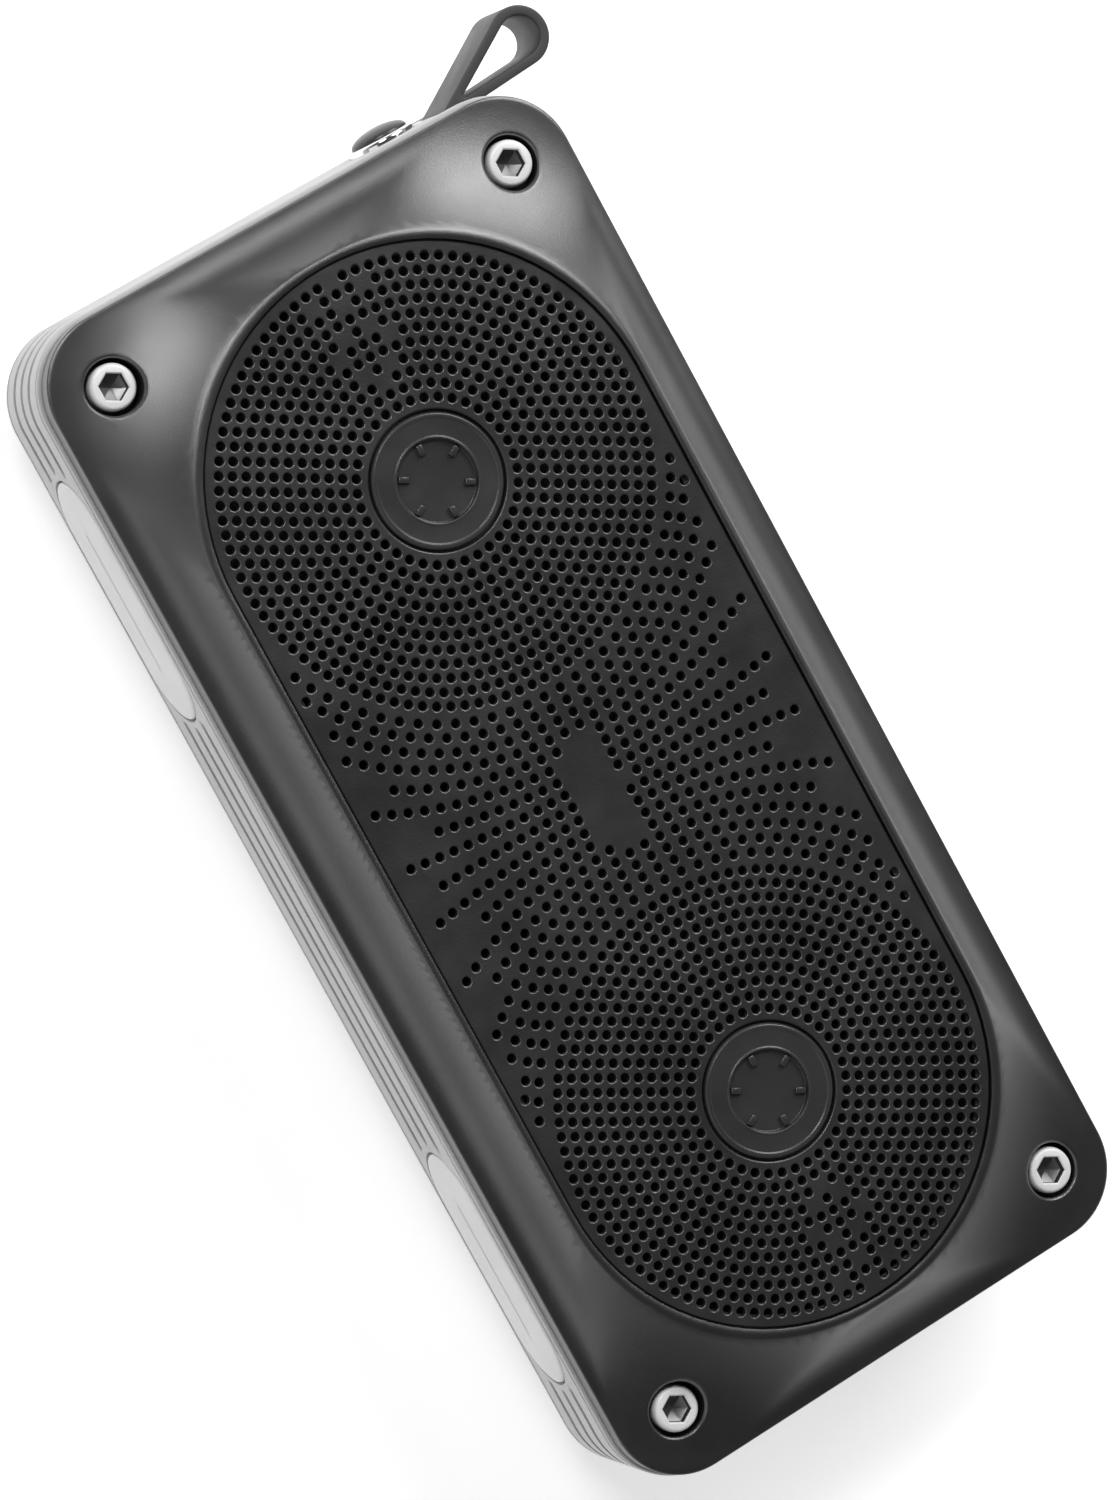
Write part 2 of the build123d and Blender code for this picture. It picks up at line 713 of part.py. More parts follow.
# ---- strap --------------------------------------------------------------------
def teardrop(x1, y1, r1, x2, y2, r2):
    """Outline round two circles joined by their outer tangents."""
    dx, dy = x2 - x1, y2 - y1
    gap = sqrt(dx * dx + dy * dy)
    ux, uy = dx / gap, dy / gap
    along = (r1 - r2) / gap
    across = sqrt(1 - along * along)
    corners = []
    for (x, y, r), side in (((x1, y1, r1), -1), ((x2, y2, r2), -1), ((x2, y2, r2), 1), ((x1, y1, r1), 1)):
        nx = ux * along - side * uy * across
        ny = uy * along + side * ux * across
        corners.append((x + r * nx, y + r * ny))
    shape = Polygon(*corners, align=None)
    return shape + Pos(x1, y1) * Circle(r1) + Pos(x2, y2) * Circle(r2)


def carry_strap():
    """Moulded rubber loop with an eye round its pin."""
    outer = teardrop(PIN_X, PIN_Y, 1.8, LOOP_X, LOOP_Y, LOOP_R)
    end_x = LOOP_X + 0.2
    under = Polygon((29.6, 78), (end_x, 78), (end_x, LOOP_Y - LOOP_R), (29.6, 81.25), align=None)
    under -= Pos(PIN_X, PIN_Y) * Circle(1.8)
    under -= Pos(LOOP_X, LOOP_Y) * Circle(LOOP_R)
    outer -= under
    outer -= teardrop(30.7, 82.85, 0.2, LOOP_X, LOOP_Y, LOOP_R - STRAP_T)
    outer -= Pos(PIN_X, PIN_Y) * Circle(PIN_R + 0.06)
    return extrude(Pos(0, 0, Z_MID - STRAP_W / 2) * outer, STRAP_W, dir=(0, 0, 1))


def strap_pin():
    """Pin the strap hangs on."""
    return rod_z(PIN_X, PIN_Y, PIN_R, Z_MID - 6.2, Z_MID + 6.2)


def strap_bracket():
    """Steel clip in the pocket that holds the pin."""
    clip = block(26.3, 31.0, 78.4, 78.9, Z_MID - 6.2, Z_MID + 6.2)
    for side in (-1, 1):
        z = Z_MID + side * 5.8
        clip += block(26.9, 30.0, 78.4, 82.2, z - 0.4, z + 0.4)
    return clip - rod_z(PIN_X, PIN_Y, PIN_R + 0.02, 0, 40)


# ---- all nodes ----------------------------------------------------------------
def all_nodes():
    """Every node of the speaker by name."""
    nodes = {
        "front_bezel": front_bezel(),
        "front_grille": front_grille(),
        "grille_cap_upper": grille_cap(1),
        "grille_cap_lower": grille_cap(-1),
        "splash_membrane": splash_membrane(),
        "bezel_seal": bezel_seal(),
        "case_screws": case_screws(),
        "screw_inserts": screw_inserts(),
        "side_band": side_band(),
        "inner_frame": inner_frame(),
        "rear_cover": rear_cover(),
        "rear_screws": rear_screws(),
        "baffle_plate": baffle_plate(),
        "driver_gaskets": driver_gaskets(),
        "driver_screws": driver_screws(),
        "radiator_frame": radiator_frame(),
        "radiator_surround": radiator_surround(),
        "radiator_plate": radiator_plate(),
        "battery_pack": battery_pack(),
        "main_board": main_board(),
        "board_screws": board_screws(),
        "board_components": board_components(),
        "power_button": power_button(),
        "power_button_ring": power_button_ring(),
        "power_switch_plunger": power_switch_plunger(),
        "power_switch": power_switch(),
        "power_board": power_board(),
        "led_lens": led_lens(),
        "status_led": status_led(),
        "volume_up_key": volume_key(1),
        "volume_down_key": volume_key(-1),
        "volume_up_plunger": volume_plunger(1),
        "volume_down_plunger": volume_plunger(-1),
        "volume_switches": volume_switches(),
        "key_boards": key_boards(),
        "port_cover": port_cover(),
        "port_board": port_board(),
        "usb_socket": usb_socket(),
        "aux_jack": aux_jack(),
        "carry_strap": carry_strap(),
        "strap_pin": strap_pin(),
        "strap_bracket": strap_bracket(),
    }
    pieces = {"basket": basket, "front_plate": front_plate, "magnet": magnet, "yoke": yoke,
              "voice_coil": voice_coil, "cone": cone, "dust_cap": dust_cap, "surround": surround,
              "spider": spider}
    magnetics = {}
    for end, side in (("upper", 1), ("lower", -1)):
        for piece, make in pieces.items():
            magnetics[f"{end}_{piece}"] = make(side * DRIVER_Y)
    nodes.update(magnetics)
    return nodes


os.makedirs("parts", exist_ok=True)
for name, shape in all_nodes().items():
    export_step(shape, f"parts/{name}.step")
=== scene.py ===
import bpy
import bmesh
import math
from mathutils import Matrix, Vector
from mathutils.geometry import delaunay_2d_cdt


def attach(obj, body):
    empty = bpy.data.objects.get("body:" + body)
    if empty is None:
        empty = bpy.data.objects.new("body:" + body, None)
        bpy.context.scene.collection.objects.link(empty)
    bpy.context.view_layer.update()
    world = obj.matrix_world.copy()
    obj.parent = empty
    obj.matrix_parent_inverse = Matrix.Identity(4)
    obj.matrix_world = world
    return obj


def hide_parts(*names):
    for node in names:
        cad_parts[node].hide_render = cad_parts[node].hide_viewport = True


# Shower speaker on its back. Sizes below are millimetres; meshes are made in metres.
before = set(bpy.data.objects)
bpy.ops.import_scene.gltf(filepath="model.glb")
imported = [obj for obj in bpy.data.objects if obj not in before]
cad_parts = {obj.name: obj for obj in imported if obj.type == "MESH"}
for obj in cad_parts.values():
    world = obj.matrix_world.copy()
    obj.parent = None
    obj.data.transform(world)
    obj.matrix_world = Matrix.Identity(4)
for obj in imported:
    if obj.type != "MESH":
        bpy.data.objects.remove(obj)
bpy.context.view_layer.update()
MM = 0.001

# Front cover: outer edge height, rise to the lip, and the fractions of that rise
# where the rounded outer edge ends and the rounded lip starts.
Z_EDGE = 29.6
CROWN = 5.6
EDGE_T = 0.035
LIP_T = 0.97
COVER_FOOT = 26.5
ROUND_START = 29.35
LIP_END = 34.9
LEDGE = 33.62
# Outlines round the grille: width, length and corner radius.
GRILLE_WALL = (59.9, 147.2, 29.94)
PLATE = (59.2, 146.5, 29.59)
GRILLE_TOP = 34.6
HOLE_R = 0.60
HOLE_RIM_R = 0.80
DRIVER_Y = 43.7
SCREWS = [(x, y) for x in (-29.2, 29.2) for y in (-73.1, 73.1)]
RECESS_R = 3.6
RECESS_FLOOR = 27.5
ROUND_COUNT = 48
# Band, and the oval pads on its sides: -1 is the left side, 1 the right.
BAND_LOW = 8.6
BAND_HIGH = 26.2
Z_MID = 17.4
PAD_Y = 48.4
PADS = ((-1, PAD_Y), (-1, -PAD_Y), (1, PAD_Y))
PAD_LENGTH = 33.7
PAD_WIDTH = 14.4
PAD_R = 7.19
PAD_BACK = 37.1
BUTTON_X = 19.6
LAMP_X = 25.0


# ---- mesh helpers -------------------------------------------------------------
def mesh_of(name, verts, faces):
    """Mesh in metres from millimetre vertices."""
    mesh = bpy.data.meshes.new(name)
    mesh.from_pydata([(x * MM, y * MM, z * MM) for x, y, z in verts], [], faces)
    return mesh


def linked(name, data):
    """New object in the scene."""
    obj = bpy.data.objects.new(name, data)
    bpy.context.scene.collection.objects.link(obj)
    return obj


def add_piece(name, verts, faces, body, material, nodes=(), sharp=38, weld=True):
    """Makes one object from millimetre vertices, in place of the named CAD nodes."""
    mesh = mesh_of(name, verts, faces)
    bm = bmesh.new()
    bm.from_mesh(mesh)
    if weld:
        bmesh.ops.remove_doubles(bm, verts=bm.verts, dist=2e-6)
    bmesh.ops.dissolve_degenerate(bm, edges=bm.edges, dist=1e-7)
    bmesh.ops.recalc_face_normals(bm, faces=bm.faces)
    bm.to_mesh(mesh)
    bm.free()
    mesh.shade_smooth()
    mesh.set_sharp_from_angle(angle=math.radians(sharp))
    obj = linked(name, mesh)
    mesh.materials.append(material)
    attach(obj, body)
    if nodes:
        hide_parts(*nodes)
    return obj


def merged(parts):
    """Joins several (verts, faces) lists into one."""
    verts, faces = [], []
    for part_verts, part_faces in parts:
        start = len(verts)
        verts += part_verts
        faces += [tuple(start + i for i in face) for face in part_faces]
    return verts, faces


def skin(rings, closed=True):
    """Quads between rings that have the same number of points."""
    count = len(rings[0])
    verts = [p for ring in rings for p in ring]
    faces = []
    span = count if closed else count - 1
    for r in range(len(rings) - 1):
        low, high = r * count, (r + 1) * count
        for i in range(span):
            j = (i + 1) % count
            faces.append((low + i, low + j, high + j, high + i))
    return verts, faces


def capped(rings):
    """Skin between two rings, closed at both ends."""
    verts, faces = skin(rings)
    count = len(rings[0])
    faces.append(tuple(reversed(range(count))))
    faces.append(tuple(range(count, 2 * count)))
    return verts, faces


def circle(cx, cy, radius, count=ROUND_COUNT):
    """Points round a circle."""
    return [(cx + radius * math.cos(2 * math.pi * i / count),
             cy + radius * math.sin(2 * math.pi * i / count)) for i in range(count)]


def mixed_ring(first, second, f, z):
    """Ring a fraction f of the way from one ring to another, at height z."""
    return [(x0 + (x1 - x0) * f, y0 + (y1 - y0) * f, z)
            for (x0, y0, _), (x1, y1, _) in zip(first, second)]


def loop_edges(loop):
    """Edges round a closed loop of point numbers."""
    return [(loop[i], loop[(i + 1) % len(loop)]) for i in range(len(loop))]


def centre_of(verts, face):
    """Middle of a triangle, seen from above."""
    return sum(verts[i].x for i in face) / 3, sum(verts[i].y for i in face) / 3


def lathe(profile, centre, axis="Z", segments=72):
    """Turns a (radius, height) profile about an axis through centre."""
    rings = []
    for radius, height in profile:
        ring = []
        for i in range(segments):
            a = 2 * math.pi * i / segments
            u, v = max(radius, 1e-4) * math.cos(a), max(radius, 1e-4) * math.sin(a)
            point = {"Z": (u, v, height), "Y": (u, height, v), "X": (height, u, v)}[axis]
            ring.append(tuple(c + d for c, d in zip(centre, point)))
        rings.append(ring)
    return skin(rings)


def filleted(points, radius, steps=4):
    """Rounds the inner corners of an open (r, h) profile."""
    result = [points[0]]
    for before, here, after in zip(points, points[1:], points[2:]):
        p, a, b = Vector(here), Vector(before), Vector(after)
        cut = min(radius, (a - p).length * 0.45, (b - p).length * 0.45)
        start, end = p + (a - p).normalized() * cut, p + (b - p).normalized() * cut
        for i in range(steps + 1):
            f = i / steps
            point = start * (1 - f) ** 2 + p * 2 * f * (1 - f) + end * f ** 2
            result.append(tuple(point))
    result.append(points[-1])
    return result


def box_part(x_low, x_high, y_low, y_high, z_low, z_high):
    """Plain block used as a cutter or a hidden stem."""
    verts = [(x, y, z) for z in (z_low, z_high)
             for x, y in ((x_low, y_low), (x_high, y_low), (x_high, y_high), (x_low, y_high))]
    faces = [(3, 2, 1, 0), (4, 5, 6, 7), (0, 1, 5, 4), (1, 2, 6, 5), (2, 3, 7, 6), (3, 0, 4, 7)]
    return verts, faces


def outline(width, length, radius, arc=20, long=64, short=30):
    """Rounded rectangle as (x, y, nx, ny), the same count for every size."""
    half_w, half_l = width / 2, length / 2
    straight_x, straight_y = half_w - radius, half_l - radius
    points = []
    for quarter in range(4):
        start = quarter * math.pi / 2
        cx = straight_x if quarter in (0, 3) else -straight_x
        cy = straight_y if quarter in (0, 1) else -straight_y
        for i in range(arc + 1):
            a = start + i / arc * math.pi / 2
            nx, ny = math.cos(a), math.sin(a)
            points.append((cx + radius * nx, cy + radius * ny, nx, ny))
        span = short if quarter % 2 == 0 else long
        nx, ny = math.cos(start + math.pi / 2), math.sin(start + math.pi / 2)
        run = 2 * (straight_x if quarter % 2 == 0 else straight_y)
        x, y = points[-1][:2]
        for i in range(1, span):
            step = run * i / span
            points.append((x - ny * step, y + nx * step, nx, ny))
    return points


def ring_at(width, length, radius, z, **counts):
    """Outline lifted to a height."""
    return [(x, y, z) for x, y, _, _ in outline(width, length, radius, **counts)]


# ---- node helpers -------------------------------------------------------------
def start_material(name, color, roughness, metallic=0.0, specular=0.5):
    """Principled material and its node tree."""
    material = bpy.data.materials.new("look_" + name)
    material["slot"] = name
    material.use_nodes = True
    tree = material.node_tree
    shader = tree.nodes["Principled BSDF"]
    shader.inputs["Base Color"].default_value = (*color, 1)
    shader.inputs["Roughness"].default_value = roughness
    shader.inputs["Metallic"].default_value = metallic
    shader.inputs["Specular IOR Level"].default_value = specular
    return material, tree, shader


def noise(tree, scale, detail=3.0, stretch=(1, 1, 1)):
    """Noise in object space; scale is features per metre."""
    coords = tree.nodes.new("ShaderNodeTexCoord")
    mapping = tree.nodes.new("ShaderNodeMapping")
    texture = tree.nodes.new("ShaderNodeTexNoise")
    mapping.inputs["Scale"].default_value = stretch
    texture.inputs["Scale"].default_value = scale
    texture.inputs["Detail"].default_value = detail
    tree.links.new(coords.outputs["Object"], mapping.inputs["Vector"])
    tree.links.new(mapping.outputs["Vector"], texture.inputs["Vector"])
    return texture.outputs["Fac"]


def spread(tree, value, low, high, from_low=0.3, from_high=0.7):
    """Maps a noise value to a range."""
    node = tree.nodes.new("ShaderNodeMapRange")
    node.inputs["From Min"].default_value = from_low
    node.inputs["From Max"].default_value = from_high
    node.inputs["To Min"].default_value = low
    node.inputs["To Max"].default_value = high
    tree.links.new(value, node.inputs["Value"])
    return node.outputs["Result"]


def tint(tree, value, dark, light):
    """Colour that moves between two tones with a value."""
    node = tree.nodes.new("ShaderNodeMix")
    node.data_type = "RGBA"
    node.inputs["A"].default_value = (*dark, 1)
    node.inputs["B"].default_value = (*light, 1)
    tree.links.new(value, node.inputs["Factor"])
    return node.outputs["Result"]


def bump(tree, shader, value, strength, distance):
    """Adds fine relief to a shader."""
    node = tree.nodes.new("ShaderNodeBump")
    node.inputs["Strength"].default_value = strength
    node.inputs["Distance"].default_value = distance
    tree.links.new(value, node.inputs["Height"])
    tree.links.new(node.outputs["Normal"], shader.inputs["Normal"])


def grained(name, color, roughness, metallic=0.0, specular=0.5, grain=2500, vary=0.12,
            rough_vary=0.06, relief=0.25, depth=0.00004, stretch=(1, 1, 1)):
    """Surface with cloudy tone, uneven gloss and a fine grain."""
    material, tree, shader = start_material(name, color, roughness, metallic, specular)
    cloud = noise(tree, 60, 4.0)
    fine = noise(tree, grain, 2.0, stretch)
    dark = [c * (1 - vary) for c in color]
    light = [min(1.0, c * (1 + vary)) for c in color]
    tone = spread(tree, cloud, 0.0, 1.0)
    tree.links.new(tint(tree, tone, dark, light), shader.inputs["Base Color"])
    gloss = spread(tree, noise(tree, 220, 3.0), roughness - rough_vary, roughness + rough_vary)
    tree.links.new(gloss, shader.inputs["Roughness"])
    bump(tree, shader, fine, relief, depth)
    return material


def woven(name, dark, light, threads, roughness=0.85, depth=0.00008):
    """Cloth or mesh with crossing threads."""
    material, tree, shader = start_material(name, light, roughness)
    coords = tree.nodes.new("ShaderNodeTexCoord")
    waves = []
    for direction in ("X", "Y"):
        wave = tree.nodes.new("ShaderNodeTexWave")
        wave.bands_direction = direction
        wave.inputs["Scale"].default_value = threads
        wave.inputs["Distortion"].default_value = 0.4
        tree.links.new(coords.outputs["Object"], wave.inputs["Vector"])
        waves.append(wave.outputs["Fac"])
    cross = tree.nodes.new("ShaderNodeMath")
    cross.operation = "MULTIPLY"
    tree.links.new(waves[0], cross.inputs[0])
    tree.links.new(waves[1], cross.inputs[1])
    tree.links.new(tint(tree, cross.outputs[0], dark, light), shader.inputs["Base Color"])
    bump(tree, shader, cross.outputs[0], 0.5, depth)
    return material


def grey(value):
    """Neutral colour."""
    return (value, value, value)


def ribbed(name, color, groove_shade_color):
    """Silicone with painted shade: its colour turns to a near-black tone inside the grooves."""
    material = grained(name, color, 0.55, grain=2600, vary=0.05, relief=0.18, specular=0.35)
    tree = material.node_tree
    shader = tree.nodes["Principled BSDF"]
    plain = shader.inputs["Base Color"].links[0].from_socket
    # Painted shade: the stored groove depth mixes the colour towards the dark shade tone.
    depth = tree.nodes.new("ShaderNodeAttribute")
    depth.attribute_name = "groove"
    mixed = tint(tree, spread(tree, depth.outputs["Fac"], 0, 1, 0.1, 0.8), color, groove_shade_color)
    tree.links.new(plain, mixed.node.inputs["A"])
    tree.links.new(mixed, shader.inputs["Base Color"])
    return material


PAINT = grained("bezel_paint", grey(0.145), 0.34, metallic=0.95, grain=8500, vary=0.05,
                rough_vary=0.02, relief=0.55, depth=0.00005)
GRILLE = grained("grille_paint", grey(0.085), 0.38, metallic=0.75, grain=3600, vary=0.2,
                 rough_vary=0.05, relief=0.5, depth=0.00005)
CAP = grained("cap_plastic", grey(0.075), 0.32, metallic=0.5, grain=3000, vary=0.12, relief=0.3)
SCREW = grained("screw_steel", grey(0.95), 0.42, metallic=0.08, grain=1800, vary=0.05, relief=0.15)
# Near-black copy of the cover paint for the screw recess walls: painted shade.
WELL_SHADE = grained("bezel_paint", grey(0.012), 0.5, grain=3000, vary=0.2, relief=0.2)
# Darker copy of the screw steel for the hex sockets: painted shade inside them.
SOCKET_SHADE = grained("screw_steel", grey(0.16), 0.35, metallic=0.8, grain=1500, vary=0.15, relief=0.1)
# The band's second, near-black tone is painted shade inside its grooves.
BAND = ribbed("band_silicone", grey(0.55), grey(0.07))
KEY = grained("key_silicone", grey(0.72), 0.42, grain=3200, vary=0.03, relief=0.10, specular=0.4)
BUTTON = grained("button_rubber", grey(0.045), 0.30, grain=2500, vary=0.1, relief=0.08)
CHROME = grained("ring_chrome", grey(0.88), 0.12, metallic=1.0, grain=700, vary=0.03,
                 rough_vary=0.04, relief=0.03)
STRAP = grained("strap_rubber", grey(0.055), 0.50, grain=1800, vary=0.15, relief=0.25)
LENS = grained("lens", grey(0.9), 0.25, grain=2500, vary=0.03, relief=0.05)
COVER = grained("cover_plastic", grey(0.055), 0.48, grain=1300, vary=0.15, relief=0.4, depth=0.00006)
BLACK = grained("frame_plastic", grey(0.03), 0.5, grain=1500, vary=0.2, relief=0.3)
SEAL = grained("seal_rubber", grey(0.015), 0.7, grain=2000, vary=0.2, relief=0.3)
ZINC = grained("zinc_steel", grey(0.62), 0.32, metallic=1.0, grain=800, vary=0.08, relief=0.1,
               stretch=(1, 6, 1))
BRASS = grained("insert_brass", (0.72, 0.55, 0.25), 0.3, metallic=1.0, grain=900, vary=0.08)
FERRITE = grained("ferrite", grey(0.05), 0.6, grain=900, vary=0.3, relief=0.5)
COPPER = grained("coil_copper", (0.66, 0.33, 0.17), 0.35, metallic=1.0, grain=600, vary=0.1,
                 relief=0.4, stretch=(1, 1, 12))
BOARD = grained("circuit_board", (0.03, 0.16, 0.08), 0.4, grain=500, vary=0.35, relief=0.2)
CHIP = grained("chip_plastic", grey(0.03), 0.55, grain=2500, vary=0.2)
SLEEVE = grained("cell_sleeve", (0.08, 0.20, 0.42), 0.3, grain=600, vary=0.1, relief=0.15)
PALE = grained("pale_plastic", grey(0.7), 0.45, grain=2000, vary=0.05)
RUBBER = grained("black_rubber", grey(0.022), 0.6, grain=1800, vary=0.2)
PAPER = woven("cone_paper", grey(0.02), grey(0.07), 500)
CLOTH = woven("spider_cloth", (0.35, 0.24, 0.09), (0.62, 0.46, 0.2), 700)
MESH = woven("splash_mesh", grey(0.004), grey(0.02), 900)


# ---- front cover --------------------------------------------------------------
def crown_size(t):
    """Width, length and corner radius of the cover's outline at fraction t."""
    return 75.1 - 13.6 * t, 164.0 - 15.2 * t, 9.5 + 21.2 * t


def crown_ring(t):
    """Outline of the cover at fraction t, at its own height."""
    return ring_at(*crown_size(t), crown_height(t))


def crown_height(t):
    """Height of the cover at fraction t from the edge to the lip."""
    return Z_EDGE + CROWN * t ** 2.2


def inside_distance(x, y, t):
    """Signed distance to the outline at fraction t, negative inside it."""
    width, length, radius = crown_size(t)
    qx, qy = abs(x) - width / 2 + radius, abs(y) - length / 2 + radius
    return min(max(qx, qy), 0) + math.hypot(max(qx, 0), max(qy, 0)) - radius


def surface_height(x, y):
    """Height of the cover's top, with a softened rim round each screw recess."""
    low, high = 0.0, 1.0
    for _ in range(22):
        middle = (low + high) / 2
        if inside_distance(x, y, middle) < 0:
            low = middle
        else:
            high = middle
    near = min(math.hypot(x - sx, y - sy) for sx, sy in SCREWS)
    rim = max(0.0, 1 - (near - RECESS_R) / 0.4)
    return crown_height(low) - 0.3 * rim ** 2


def bezel_plan():
    """Points of the cover's top seen from above, and the loops that bound it."""
    points, loops = [], []
    last = 26
    for index in range(last + 1):
        t = EDGE_T + (LIP_T - EDGE_T) * index / last
        ring = [(x, y) for x, y, _ in crown_ring(t)]
        if index in (0, last):
            loops.append(range(len(points), len(points) + len(ring)))
        else:
            ring = [p for p in ring if all(math.dist(p, s) > 5.0 for s in SCREWS)]
        points += ring
    for sx, sy in SCREWS:
        loops.append(range(len(points), len(points) + ROUND_COUNT))
        for radius in (RECESS_R, 3.68, 3.78, 3.9, 4.02, 4.3, 4.65):
            points += circle(sx, sy, radius)
    return points, loops


def bezel_top():
    """Swept top of the cover with the four screw openings left out."""
    points, loops = bezel_plan()
    rims = [edge for loop in loops for edge in loop_edges(loop)]
    verts, _, faces, *_ = delaunay_2d_cdt([Vector(p) for p in points], rims, [], 0, 1e-6)
    kept = []
    for face in faces:
        centre = centre_of(verts, face)
        on_top = inside_distance(*centre, LIP_T) > 1e-4 and inside_distance(*centre, EDGE_T) < 0
        in_hole = any(math.dist(centre, s) < RECESS_R - 0.01 for s in SCREWS)
        if on_top and not in_hole:
            kept.append(tuple(face))
    return [(v.x, v.y, surface_height(v.x, v.y)) for v in verts], kept


def bezel_side():
    """Underside rim, side wall and rounded outer edge."""
    outer, soft = crown_ring(0), crown_ring(EDGE_T)
    rings = [ring_at(71.4, 160.3, 7.65, COVER_FOOT)]
    rings += [[(x, y, z) for x, y, _ in outer] for z in (COVER_FOOT, ROUND_START)]
    for i in range(1, 9):
        a = i / 8 * math.pi / 2
        z = ROUND_START + (crown_height(EDGE_T) - ROUND_START) * math.sin(a)
        rings.append(mixed_ring(outer, soft, 1 - math.cos(a), z))
    return skin(rings)


def bezel_lip():
    """Rounded lip, the wall round the grille and the ledge under it."""
    slope, wall = crown_ring(LIP_T), ring_at(*GRILLE_WALL, LIP_END)
    z_slope = crown_height(LIP_T)
    rings = [slope]
    for i in range(1, 8):
        f = i / 7
        rings.append(mixed_ring(slope, wall, f, z_slope + (LIP_END - z_slope) * f + 0.5 * f * (1 - f)))
    rings.append(ring_at(*GRILLE_WALL, LEDGE))
    rings.append(ring_at(56.5, 143.8, 28.24, LEDGE))
    return skin(rings)


def recess_walls():
    """Walls and floors of the screw recesses."""
    parts = []
    for sx, sy in SCREWS:
        rim = circle(sx, sy, RECESS_R)
        top = [(x, y, surface_height(x, y)) for x, y in rim]
        low = [(x, y, RECESS_FLOOR) for x, y in rim]
        inner = [(sx + (x - sx) * 0.45, sy + (y - sy) * 0.45, RECESS_FLOOR) for x, y in rim]
        parts.append(skin([top, low, inner]))
    return merged(parts)


def make_bezel():
    """The painted front cover, and the walls of its screw recesses in a near-black tone that is painted
    shade.
    """
    verts, faces = merged([bezel_top(), bezel_side(), bezel_lip()])
    add_piece("bezel", verts, faces, "case", PAINT, ["front_bezel"], sharp=50)
    verts, faces = recess_walls()
    add_piece("screw_wells", verts, faces, "case", WELL_SHADE, sharp=50)


# ---- grille -------------------------------------------------------------------
def ring_holes(side):
    """Rings of holes about one cap."""
    blanks = {(10, 0), (9, 2), (8, 0), (6, 1), (5, 2), (3, 1), (2, 0)}
    points = []
    for ring in range(11):
        radius, count = 10.42 + 1.745 * ring, 36 + 6 * ring
        for step in range(count):
            if (ring, min(step, count - step)) not in blanks:
                a = 2 * math.pi * step / count
                points.append((radius * math.sin(a), side * (DRIVER_Y + radius * math.cos(a))))
    return points


def row_blank(row, step, side):
    """Holes left out round the plain patch in the middle."""
    if step == 0:
        return abs(row) <= 4
    if step == 1:
        return row == 0 if side > 0 else abs(row) <= 3
    return False


def row_holes(row):
    """One curved row of holes between the caps."""
    rise, pitch = 2.40 * abs(row), 1.93 + 0.06 * abs(row)
    reach = {0: 24.2, 2: 22.6, 4: 24.9}.get(abs(row), 28.2)
    points = []
    for side in (-1, 1):
        for step in range(16):
            x, lift = (step + 0.5) * pitch, 0.0
            if row:
                bend_r = (28.5 ** 2 + rise ** 2) / (2 * rise)
                x, lift = bend_r * math.sin(x / bend_r), bend_r * (1 - math.cos(x / bend_r))
            if x <= reach and not row_blank(row, step, side):
                points.append((side * x, 1.72 * row + math.copysign(lift, row)))
    return points


def all_holes():
    """Every hole as (x, y, radius, rim radius, corners), the two cap openings last."""
    places = ring_holes(1) + ring_holes(-1)
    for row in range(-8, 9):
        places += row_holes(row)
    holes = [(x, y, HOLE_R, HOLE_RIM_R, 12) for x, y in places]
    return holes + [(0, side * DRIVER_Y, 8.9, 9.1, 64) for side in (-1, 1)]


def hole_wall(cx, cy, radius, rim, count):
    """Bevelled rim and wall of one hole."""
    step = (rim - radius) / 3
    levels = ((rim, 0), (rim - step, 0.02), (rim - 2 * step, 0.06), (radius, 0.14),
              (radius, 0.24), (radius, 1.0))
    return skin([[(x, y, GRILLE_TOP - drop) for x, y in circle(cx, cy, r, count)]
                 for r, drop in levels])


def plate_top(holes):
    """Flat top of the plate, open at the holes."""
    points = [(x, y) for x, y, _ in ring_at(*PLATE, 0)]
    edges = loop_edges(range(len(points)))
    owner = [None] * len(points)
    for index, (cx, cy, _, rim, count) in enumerate(holes):
        edges += loop_edges(range(len(points), len(points) + count))
        points += circle(cx, cy, rim, count)
        owner += [index] * count
    verts, _, faces, *_ = delaunay_2d_cdt([Vector(p) for p in points], edges, [], 0, 1e-7)
    top = []
    for face in faces:
        owners = {owner[i] if i < len(owner) else None for i in face}
        in_hole = len(owners) == 1 and None not in owners
        cx, cy = centre_of(verts, face)
        if not in_hole and math.hypot(cx, max(abs(cy) - 43.66, 0)) < 29.6:
            top.append(tuple(face))
    return [(v.x, v.y, GRILLE_TOP) for v in verts], top


def make_grille():
    """Perforated plate: flat top, soft edge, bevelled holes and their walls."""
    holes = all_holes()
    rims = [ring_at(*PLATE, GRILLE_TOP)]
    rims += [ring_at(59.5, 146.8, 29.74, GRILLE_TOP - drop) for drop in (0.15, 1.0)]
    verts, faces = merged([plate_top(holes), skin(rims)] + [hole_wall(*hole) for hole in holes])
    add_piece("grille", verts, faces, "case", GRILLE, ["front_grille"], sharp=60, weld=False)


def rounded_block(cx, cy, z_low, z_high, length, width, angle, soft=0.15):
    """Small block with softened top edges, turned about Z."""
    rings = []
    for inset, z in ((0, z_low), (0, z_high - soft), (soft * 0.3, z_high - soft * 0.3), (soft, z_high),
                     (width / 2 - 0.001, z_high)):
        half_l, half_w = length / 2 - inset, width / 2 - inset
        ring = []
        for x, y in ((half_l, half_w), (-half_l, half_w), (-half_l, -half_w), (half_l, -half_w)):
            ring.append((cx + x * math.cos(angle) - y * math.sin(angle),
                         cy + x * math.sin(angle) + y * math.cos(angle), z))
        rings.append(ring)
    return skin(rings)


